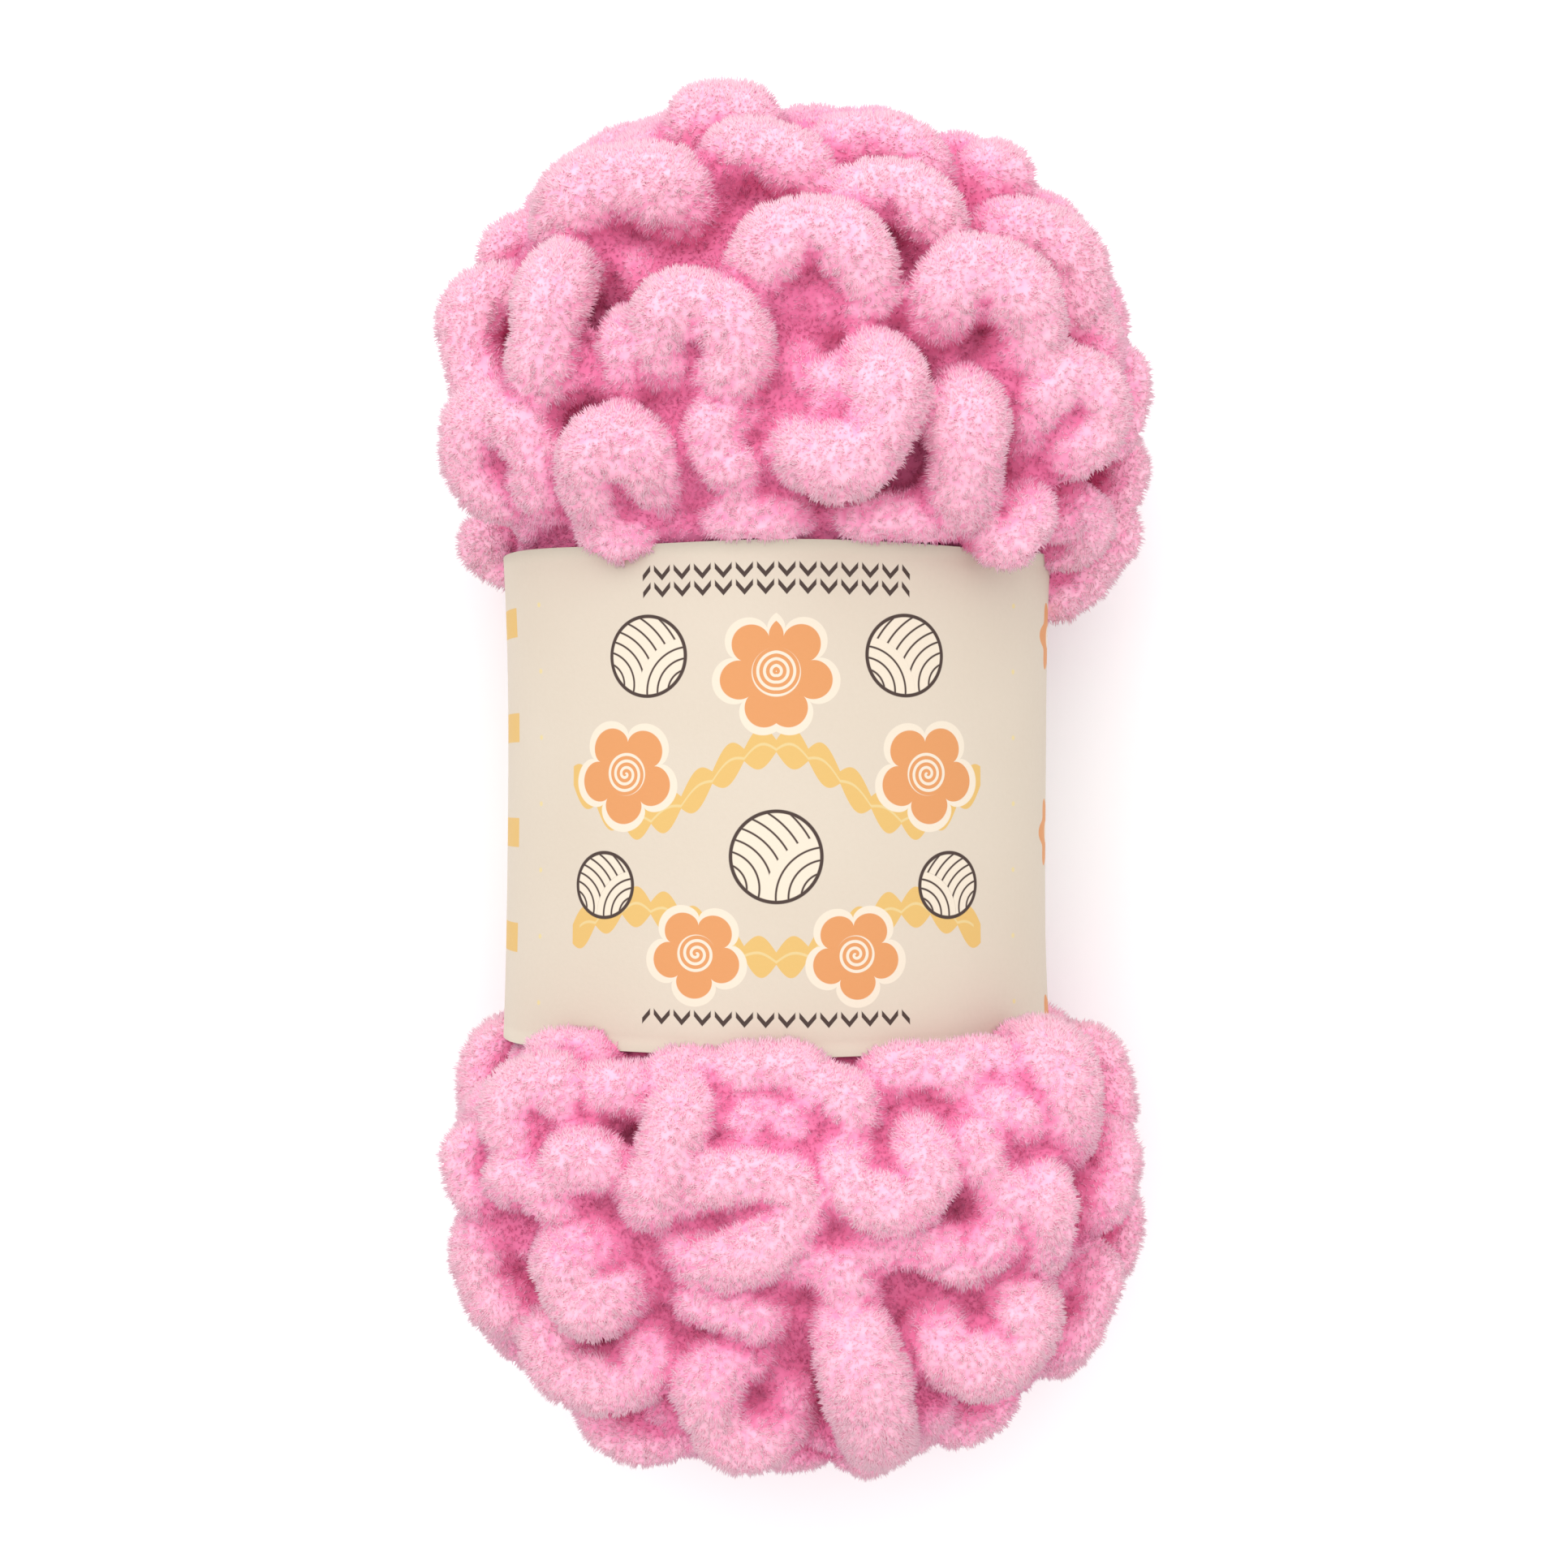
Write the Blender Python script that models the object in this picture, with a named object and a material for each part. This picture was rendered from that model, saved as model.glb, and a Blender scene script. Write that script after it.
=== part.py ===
"""A skein of finger loop yarn, held round its waist by a paper band.

The yarn is one thick plush strand that is sewn into a chain of finger-sized loops. The chain is wound
lengthwise into a skein with two full lobes, and a paper band draws its waist in. It lies on its back:
X runs across the skein, Y along it, Z up, and the origin is on the surface under its middle.
"""

import math
from collections import namedtuple

import bmesh
import bpy
import numpy as np

# Driving dimensions, in metres
MM = 0.001
STRAND_RADIUS = 6.3 * MM  # the plush strand, its pile included
AXIS_HEIGHT = 45.0 * MM  # of the skein's long axis above the surface that it lies on
BAND_HALF_WIDTH = 48.0 * MM
BAND_HALF_DEPTH = 35.0 * MM
BAND_LENGTH = 84.0 * MM
BAND_X, BAND_Y = -2.7 * MM, -2.7 * MM  # the band's middle
BAND_FLARE = 1.2 * MM  # how far the lobes push the band's two edges out
PAPER = 1.0 * MM  # the paper is thinner, and this is the least that a sheet is built with
LAP_WIDTH = 14.0 * MM  # where one end of the paper is glued over the other, on the back
LAP_HEIGHT = 0.6 * MM
CLEARANCE = 0.5 * MM  # between the yarn and the paper
MIDDLE_X, MIDDLE_Y = 1.92 * MM, -0.43 * MM  # of the finished skein, which the origin goes under

# The two lobes of the skein, which the outermost strands touch from inside: a superellipsoid each, near
# to an ellipsoid at the skein's end (end_power) and squarer where the band draws it in (neck_power).
Lobe = namedtuple("Lobe", "x y half_width half_length half_depth end_power neck_power")
LOBES = {
    "top": Lobe(0.3, 75, 64, 50, 48, 2.05, 3.0),
    "bottom": Lobe(0.3, -78, 63.5, 47, 48, 2.1, 3.4),
}

# The loops on the front of each lobe, in millimetres and degrees. x, y is the middle of a loop, across
# and along its half sizes, turn the way that its crown points, tilt how steeply it stands out of the
# skein, sweep how much of an ellipse it is, rise its height over the others, and plump its thickness.
Loop = namedtuple("Loop", "x y across along turn tilt sweep rise plump")
FRONT_LOOPS = {
    "top": [
        Loop(-13, 108, 6.5, 5.5, 80, 0, 230, 0, 0.95),
        Loop(-9, 99, 8, 4, 65, 80, 190, 0, 0.92),
        Loop(14, 103, 10, 6, 90, 0, 200, -2, 0.92),
        Loop(16.5, 90.5, 8, 6.5, 80, 0, 230, 0, 1.0),
        Loop(36, 102, 2.5, 4.5, 100, 0, 220, -1, 0.88),
        Loop(41, 85, 8, 7, 45, 0, 210, 0, 1.05),
        Loop(31, 75, 7.5, 7.5, 70, 10, 250, 1, 1.08),
        Loop(3, 82, 9, 6.5, 90, 0, 270, 1, 1.0),
        Loop(-29, 95, 10.5, 3.5, 95, 20, 230, 0, 1.02),
        Loop(-48, 91, 3.5, 3, 120, 0, 220, -1, 0.85),
        Loop(-40, 77, 7, 5, -15, 90, 180, 1, 0.92),
        Loop(-51, 75, 8, 4, 180, 0, 230, 0, 0.98),
        Loop(-27, 70, 5, 4, 0, 90, 190, -1, 0.85),
        Loop(-16, 70, 6.5, 5, 60, 0, 300, 1, 0.95),
        Loop(-49.5, 52.5, 7, 7, 90, 0, 350, 0, 1.0),
        Loop(-28, 50, 5, 7, 100, 0, 250, 1, 0.95),
        Loop(-8, 56, 4.5, 5, 180, 0, 230, 0, 0.9),
        Loop(11, 57, 6, 8, 60, 0, 250, 2, 1.08),
        Loop(28, 55, 8.5, 5.5, 0, 90, 180, 1, 1.08),
        Loop(45, 61, 5.5, 6.5, 60, 0, 310, 0, 0.92),
        Loop(57, 67, 6.5, 2.5, 0, 0, 200, -1, 0.85),
        Loop(58, 53, 6.5, 3, -10, 0, 210, -1, 0.88),
        Loop(47, 43, 5, 5, 60, 0, 250, 0, 0.92),
        Loop(56, 42, 5, 3, -30, 0, 220, -1, 0.85),
        Loop(51, 35, 5.5, 2.5, -50, 0, 210, -2, 0.85),
        Loop(-50, 41, 4, 9, 180, 0, 200, -1, 0.88),
        Loop(-29, 43, 4, 3, -90, 60, 200, 1, 0.8),
        Loop(-6, 43, 7, 3, 90, 60, 200, 0, 0.85),
        Loop(17, 43, 8.5, 3, 90, 60, 200, 0, 0.82),
        Loop(36, 44, 4, 3, -45, 70, 200, 3, 0.88),
    ],
    "bottom": [
        Loop(-52, -51, 6.5, 3.5, 160, 0, 230, 0, 0.98),
        Loop(-42, -55, 5, 4.5, 120, 0, 310, 1, 0.95),
        Loop(-52, -65, 3.5, 3, 180, 0, 230, 0, 0.9),
        Loop(-48, -82, 7.5, 5, 170, 0, 240, 0, 1.05),
        Loop(-36, -65, 2.5, 2.5, 90, 60, 220, 0, 0.82),
        Loop(-31, -82, 4, 4, 200, 0, 310, 1, 0.9),
        Loop(-29, -51, 3.5, 3, 90, 90, 180, 0, 0.88),
        Loop(-38, -48, 6, 3, 90, 0, 200, -2, 0.85),
        Loop(-18, -50, 6, 3, 90, 0, 200, -2, 0.85),
        Loop(33, -50, 5, 3, 80, 0, 200, -2, 0.85),
        Loop(-10, -70.5, 6.5, 10.5, 15, 0, 330, 2, 0.97),
        Loop(-20, -60, 9, 4, -20, 90, 190, 2, 1.0),
        Loop(-4, -50, 7, 2.5, 90, 30, 200, 0, 0.85),
        Loop(7, -54, 4, 3, 60, 0, 220, 0, 0.82),
        Loop(15, -62, 6.5, 6.5, -80, 0, 270, 2, 1.0),
        Loop(30, -61, 6, 4, 20, 90, 180, 0, 0.82),
        Loop(21, -50, 7.5, 2.5, 90, 0, 220, 0, 0.85),
        Loop(43, -51, 7.5, 5, 10, 90, 180, 2, 1.12),
        Loop(56, -53, 7, 3, 0, 0, 220, -1, 0.85),
        Loop(41, -71, 6.5, 5, 5, 90, 180, 1, 0.92),
        Loop(54, -67, 6, 4, -30, 90, 180, 0, 0.88),
        Loop(57, -80, 5, 3, 0, 0, 220, -1, 0.82),
        Loop(50, -90, 7, 2.5, -15, 0, 210, -1, 0.82),
        Loop(23, -79, 8.5, 3.5, 90, 0, 220, 0, 0.85),
        Loop(31, -91, 8, 6.5, -60, 0, 270, 1, 1.02),
        Loop(12, -99.5, 13.5, 4, 17, 80, 150, 1, 1.18),
        Loop(-6, -102, 7.5, 8, 200, 0, 250, 0, 1.05),
        Loop(-32.5, -95, 8.5, 5.5, -90, 0, 270, 0, 1.0),
        Loop(-10, -87, 7, 3, 75, 70, 200, -1, 0.85),
        Loop(30, -108, 6, 4, -80, 0, 220, -3, 0.9),
        Loop(-26, -110, 8, 4, -80, 0, 220, -1, 0.9),
    ],
}

# The loops that no table lists: the sides and the back, and a layer below, on a golden-angle spiral
OUTER_LOOPS = 78
INNER_LOOPS = 76
GOLDEN_ANGLE = math.pi * (3 - math.sqrt(5))
SPACING = 13.5 * MM  # a spiral loop keeps this far from the loops of the table
FRONT_SUNK = 6.0 * MM  # and on the front it lies this much lower than they do
INNER_DEPTH = 8.0 * MM
CORE_DEPTH = 13.0 * MM

LEG_DIVE = 9.0 * MM  # how far the two legs of a loop go down into the skein
LOOP_BEND = 42.0 * MM  # the radius to which a loop that lies flat is bent over its lobe
UNEVEN_ROUND = 0.07  # how far a loop leaves its ellipse
UNEVEN_STRAND = 0.06  # and the strand its even thickness
LOOP_POINTS = 13
BAND_STEPS = 72
BAND_ROWS = 7
VOXEL = 1.8 * MM
SKEIN_TRIANGLES = 9000


def material(name, colour, roughness):
    """A plain Principled material."""
    made = bpy.data.materials.new(name)
    made.use_nodes = True
    shader = made.node_tree.nodes["Principled BSDF"]
    shader.inputs["Base Color"].default_value = (*colour, 1)
    shader.inputs["Roughness"].default_value = roughness
    return made


def add_object(name, mesh):
    """A new object of the scene."""
    made = bpy.data.objects.new(name, mesh)
    bpy.context.scene.collection.objects.link(made)
    return made


# ---- The shape of the lobes


def centre(lobe):
    """The middle of a lobe."""
    return np.array([lobe.x * MM, lobe.y * MM, AXIS_HEIGHT])


def half_sizes(lobe, inset):
    """The lobe's half sizes, for the surface that lies inset below its own."""
    return np.array([lobe.half_width, lobe.half_length, lobe.half_depth]) * MM - inset


def power(lobe, along):
    """The power of the superellipsoid, at a distance along Y from the lobe's middle."""
    return lobe.end_power if along * lobe.y > 0 else lobe.neck_power


def outward(lobe, point, inset):
    """The unit normal of the lobe at a point, which is the gradient of its superellipsoid there."""
    size = half_sizes(lobe, inset)
    away = point - centre(lobe)
    slope = np.sign(away) * np.abs(away / size) ** (power(lobe, away[1]) - 1) / size
    return slope / np.linalg.norm(slope)


def above(lobe, x, y, inset):
    """The point of the lobe's front over x, y, or at the height of the axis where the lobe ends short."""
    across, along, up = half_sizes(lobe, inset)
    middle = centre(lobe)
    p = power(lobe, y - middle[1])
    left = 1 - abs((x - middle[0]) / across) ** p - abs((y - middle[1]) / along) ** p
    return np.array([x, y, AXIS_HEIGHT + up * max(left, 0) ** (1 / p)])


def towards(lobe, way, inset):
    """The point of the lobe's surface in a direction from its middle."""
    p = power(lobe, way[1])
    reach = (np.abs(way / half_sizes(lobe, inset)) ** p).sum() ** (-1 / p)
    return centre(lobe) + reach * way


# ---- The loops of the strand


def loop_path(loop, base, normal):
    """The strand of one loop, as the points and radii of its middle line: part of an uneven ellipse that
    lies or stands on the skein, with its two legs going down into it."""
    up = np.array([0, 1, 0]) - normal[1] * normal
    up = up / max(np.linalg.norm(up), 1e-6)
    side = np.cross(up, normal)
    turn, tilt = math.radians(loop.turn), math.radians(loop.tilt)
    crown = math.cos(turn) * side + math.sin(turn) * up
    lateral = np.cross(normal, crown)

    share = np.linspace(-1, 1, LOOP_POINTS)
    angles = share * math.radians(loop.sweep) / 2
    uneven = 1 + UNEVEN_ROUND * np.sin(3 * angles + 5 * turn)
    across = loop.across * MM * uneven * np.sin(angles)
    along = loop.along * MM * uneven * np.cos(angles)
    forward = along * math.cos(tilt)
    height = loop.rise * MM + (along - loop.along * MM) * math.sin(tilt)
    height -= (across**2 + forward**2) / (2 * LOOP_BEND) + LEG_DIVE * share**4
    points = base + np.outer(across, lateral) + np.outer(forward, crown) + np.outer(height, normal)
    radii = loop.plump * (1 + UNEVEN_STRAND * np.sin(4 * angles + 3 * turn))
    return points, radii


def front_paths(lobe, loops):
    """The loops of a table, turned part of the way from the lobe's own slope to the front."""
    paths = []
    for loop in loops:
        base = above(lobe, loop.x * MM, loop.y * MM, STRAND_RADIUS)
        normal = outward(lobe, base, STRAND_RADIUS) + (0, 0, 0.6)
        paths.append(loop_path(loop, base, normal / np.linalg.norm(normal)))
    return paths


def spiral_paths(lobe, count, inset, avoid):
    """Loops of varied turn and size on a golden-angle spiral round the lobe, clear of the points given."""
    paths = []
    for i in range(count):
        share = 1 - 2 * (i + 0.5) / count
        ring = math.sqrt(1 - share**2)
        around = i * GOLDEN_ANGLE
        way = np.array([ring * math.cos(around), share, ring * math.sin(around)])
        base = towards(lobe, way, inset)
        if any(np.linalg.norm(base - point) < SPACING for point in avoid):
            continue
        normal = outward(lobe, base, inset)
        sunk = FRONT_SUNK * min(max(2.5 * way[2] + 0.5, 0), 1)
        loop = Loop(
            x=0,
            y=0,
            across=7 + 2 * math.sin(2.3 * i),
            along=5 + 1.5 * math.cos(3.7 * i),
            turn=137 * i % 360,
            tilt=(0, 55, 15, 85)[i % 4],
            sweep=230 + 60 * math.sin(1.7 * i),
            rise=1.2 * math.sin(5.1 * i),
            plump=0.97 + 0.1 * math.cos(2.9 * i),
        )
        paths.append(loop_path(loop, base - sunk * normal, normal))
    return paths


def all_paths():
    """Every loop of both lobes, as (points, radii)."""
    paths = []
    for name, lobe in LOBES.items():
        front = front_paths(lobe, FRONT_LOOPS[name])
        middles = [points.mean(axis=0) for points, _ in front]
        paths += front
        paths += spiral_paths(lobe, OUTER_LOOPS, STRAND_RADIUS, middles)
        paths += spiral_paths(lobe, INNER_LOOPS, STRAND_RADIUS + INNER_DEPTH, [])
    return paths


def strand_mesh(paths):
    """All the loops as round tubes: one curve with a spline for each."""
    curve = bpy.data.curves.new("loops", "CURVE")
    curve.dimensions = "3D"
    curve.bevel_depth = STRAND_RADIUS
    curve.bevel_resolution = 3
    curve.use_fill_caps = True
    for points, radii in paths:
        spline = curve.splines.new("POLY")
        spline.points.add(len(points) - 1)
        spline.points.foreach_set("co", np.c_[points, np.ones(len(points))].ravel())
        spline.points.foreach_set("radius", radii)
    holder = add_object("loops", curve)
    mesh = evaluated(holder)
    bpy.data.objects.remove(holder)
    return mesh


# ---- The closed bodies that fill the skein and cut it


def add_core(bm, lobe):
    """The packed inside of a lobe: a ball drawn out to the superellipsoid below its loops."""
    for vert in bmesh.ops.create_icosphere(bm, subdivisions=4, radius=1)["verts"]:
        vert.co = towards(lobe, np.array(vert.co), CORE_DEPTH + STRAND_RADIUS)


def oval(grow):
    """Points x, z round the band, grow further out than its inner face, from the middle of the back on."""
    angles = np.arange(BAND_STEPS) * 2 * math.pi / BAND_STEPS - math.pi / 2
    x = BAND_X + (BAND_HALF_WIDTH - PAPER + grow) * np.cos(angles)
    z = AXIS_HEIGHT + (BAND_HALF_DEPTH - PAPER + grow) * np.sin(angles)
    return x, z


def add_waist(bm):
    """The yarn inside the band: an oval rod from the middle of one lobe to the middle of the other."""
    x, z = oval(-CLEARANCE)
    rings = []
    for lobe in (LOBES["bottom"], LOBES["top"]):
        rings.append([bm.verts.new((a, lobe.y * MM, b)) for a, b in zip(x, z)])
    join_rings(bm, rings[1], rings[0])
    bm.faces.new(rings[0][::-1])
    bm.faces.new(rings[1])


def join_rings(bm, first, second):
    """A closed strip of quads between two rings of as many points."""
    for i in range(len(first)):
        bm.faces.new((first[i - 1], first[i], second[i], second[i - 1]))


def sleeve(name, inner, outer, lap, half_length):
    """A closed oval sleeve between two distances from the band's inner face, thicker by lap at the back."""
    girth = math.pi * (BAND_HALF_WIDTH + BAND_HALF_DEPTH)
    steps_away = np.minimum(np.arange(BAND_STEPS), BAND_STEPS - np.arange(BAND_STEPS))
    on_lap = steps_away * girth / BAND_STEPS <= LAP_WIDTH / 2
    bm = bmesh.new()
    inside, outside = [], []
    for share in np.linspace(-1, 1, BAND_ROWS):
        y = BAND_Y + share * half_length
        flare = BAND_FLARE * abs(share) ** 3
        for rings, grow in ((inside, inner + flare), (outside, outer + flare + lap * on_lap)):
            rings.append([bm.verts.new((x, y, z)) for x, z in zip(*oval(grow))])
    for k in range(1, BAND_ROWS):
        join_rings(bm, inside[k - 1], inside[k])
        join_rings(bm, outside[k], outside[k - 1])
    join_rings(bm, outside[0], inside[0])
    join_rings(bm, inside[-1], outside[-1])
    bmesh.ops.recalc_face_normals(bm, faces=bm.faces)
    return finished(name, bm)


def finished(name, bm):
    """The bmesh as a mesh."""
    mesh = bpy.data.meshes.new(name)
    bm.to_mesh(mesh)
    bm.free()
    return mesh


# ---- The two pieces


def evaluated(obj):
    """The object's mesh with its modifiers applied."""
    bpy.context.view_layer.update()
    graph = bpy.context.evaluated_depsgraph_get()
    return bpy.data.meshes.new_from_object(obj.evaluated_get(graph))


def largest_body(mesh):
    """The mesh without the small closed pockets and slivers that fusing and cutting leave."""
    bm = bmesh.new()
    bm.from_mesh(mesh)
    todo, bodies = set(bm.verts), []
    while todo:
        body, edge = set(), [todo.pop()]
        while edge:
            vert = edge.pop()
            body.add(vert)
            near = {e.other_vert(vert) for e in vert.link_edges} & todo
            todo -= near
            edge += near
        bodies.append(body)
    largest = max(bodies, key=len)
    small = [vert for body in bodies if body is not largest for vert in body]
    bmesh.ops.delete(bm, geom=small, context="VERTS")
    return finished(mesh.name, bm)


def cut(obj, name, mesh):
    """Cuts a closed mesh out of the object."""
    cutter = add_object(name, mesh)
    cutter.hide_render = True
    cutter.display_type = "WIRE"
    modifier = obj.modifiers.new(name, "BOOLEAN")
    modifier.operation = "DIFFERENCE"
    modifier.object = cutter


def below_surface():
    """A slab up to the surface that the skein lies on, which presses its lowest loops flat."""
    bm = bmesh.new()
    bmesh.ops.create_cube(bm, size=0.4)
    bmesh.ops.translate(bm, verts=bm.verts, vec=(0, 0, -0.2))
    return finished("below_surface", bm)


def make_skein():
    """Fuses the loops and what they lie on into one solid, and makes room for the band and the surface."""
    bm = bmesh.new()
    bm.from_mesh(strand_mesh(all_paths()))
    for lobe in LOBES.values():
        add_core(bm, lobe)
    add_waist(bm)
    skein = add_object("yarn_skein", finished("yarn_skein", bm))
    fuse = skein.modifiers.new("fuse", "REMESH")
    fuse.mode = "VOXEL"
    fuse.voxel_size = VOXEL
    skein.data = largest_body(evaluated(skein))
    skein.modifiers.clear()

    thin = skein.modifiers.new("thin", "DECIMATE")
    thin.ratio = SKEIN_TRIANGLES / (2 * len(skein.data.polygons))
    room_outside = PAPER + LAP_HEIGHT + CLEARANCE
    cut(skein, "band_room", sleeve("room", -CLEARANCE, room_outside, 0, BAND_LENGTH / 2 + CLEARANCE))
    cut(skein, "below_surface", below_surface())
    skein.data = largest_body(evaluated(skein))
    skein.modifiers.clear()
    return skein


def make_band():
    """The paper band, closed by its glued lap."""
    return add_object("paper_band", sleeve("paper_band", 0, PAPER, LAP_HEIGHT, BAND_LENGTH / 2))


def main():
    for obj in list(bpy.data.objects):
        bpy.data.objects.remove(obj)
    skein = make_skein()
    skein.data.materials.append(material("plush_yarn", (0.93, 0.38, 0.56), 0.95))
    skein.data.polygons.foreach_set("use_smooth", [True] * len(skein.data.polygons))
    band = make_band()
    band.data.materials.append(material("band_paper", (0.83, 0.74, 0.62), 0.6))
    for obj in (skein, band):
        obj.location = (-MIDDLE_X, -MIDDLE_Y, 0)


main()
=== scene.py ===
import math
from collections import namedtuple

import bpy
import numpy as np
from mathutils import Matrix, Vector


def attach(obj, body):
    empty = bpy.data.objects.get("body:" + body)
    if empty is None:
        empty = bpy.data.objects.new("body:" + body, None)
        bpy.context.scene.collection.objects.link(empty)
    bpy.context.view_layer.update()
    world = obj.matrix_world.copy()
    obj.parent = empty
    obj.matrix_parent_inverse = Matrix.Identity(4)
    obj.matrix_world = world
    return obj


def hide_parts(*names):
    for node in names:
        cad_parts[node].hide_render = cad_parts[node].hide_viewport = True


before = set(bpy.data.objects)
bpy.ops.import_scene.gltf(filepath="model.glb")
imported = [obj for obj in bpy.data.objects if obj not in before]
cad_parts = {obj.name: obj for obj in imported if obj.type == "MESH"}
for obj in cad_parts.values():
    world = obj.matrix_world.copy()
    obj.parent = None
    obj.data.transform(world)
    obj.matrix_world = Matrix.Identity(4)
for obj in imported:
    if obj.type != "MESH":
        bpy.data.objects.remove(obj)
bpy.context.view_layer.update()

MM = 0.001

# ---- The strand ------------------------------------------------------------------------------------
# Finger loop yarn is one thick plush strand, sewn together at every few centimetres into a chain of
# finger-sized loops. The chain is wound lengthwise into a skein, so that both ends of it are heaps of
# loops that lie, stand and lean over each other.

STRAND_RADIUS = 6.3 * MM  # its pile included
AXIS_HEIGHT = 45.0 * MM  # of the skein's long axis above the table
SKEIN_SHIFT = np.array([-1.92 * MM, 0.43 * MM, 0])  # from the sizes below to the middle of the solids

# The form of each lobe, in millimetres: its middle, its half sizes, and how square it is, by the power
# of its superellipse, towards the skein's end and towards the band.
Lobe = namedtuple("Lobe", "x y half_width half_length half_depth end_power neck_power")
LOBES = {
    "top": Lobe(0.3, 75, 64, 50, 48, 2.05, 3.0),
    "bottom": Lobe(0.3, -78, 63.5, 47, 48, 2.1, 3.4),
}

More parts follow.
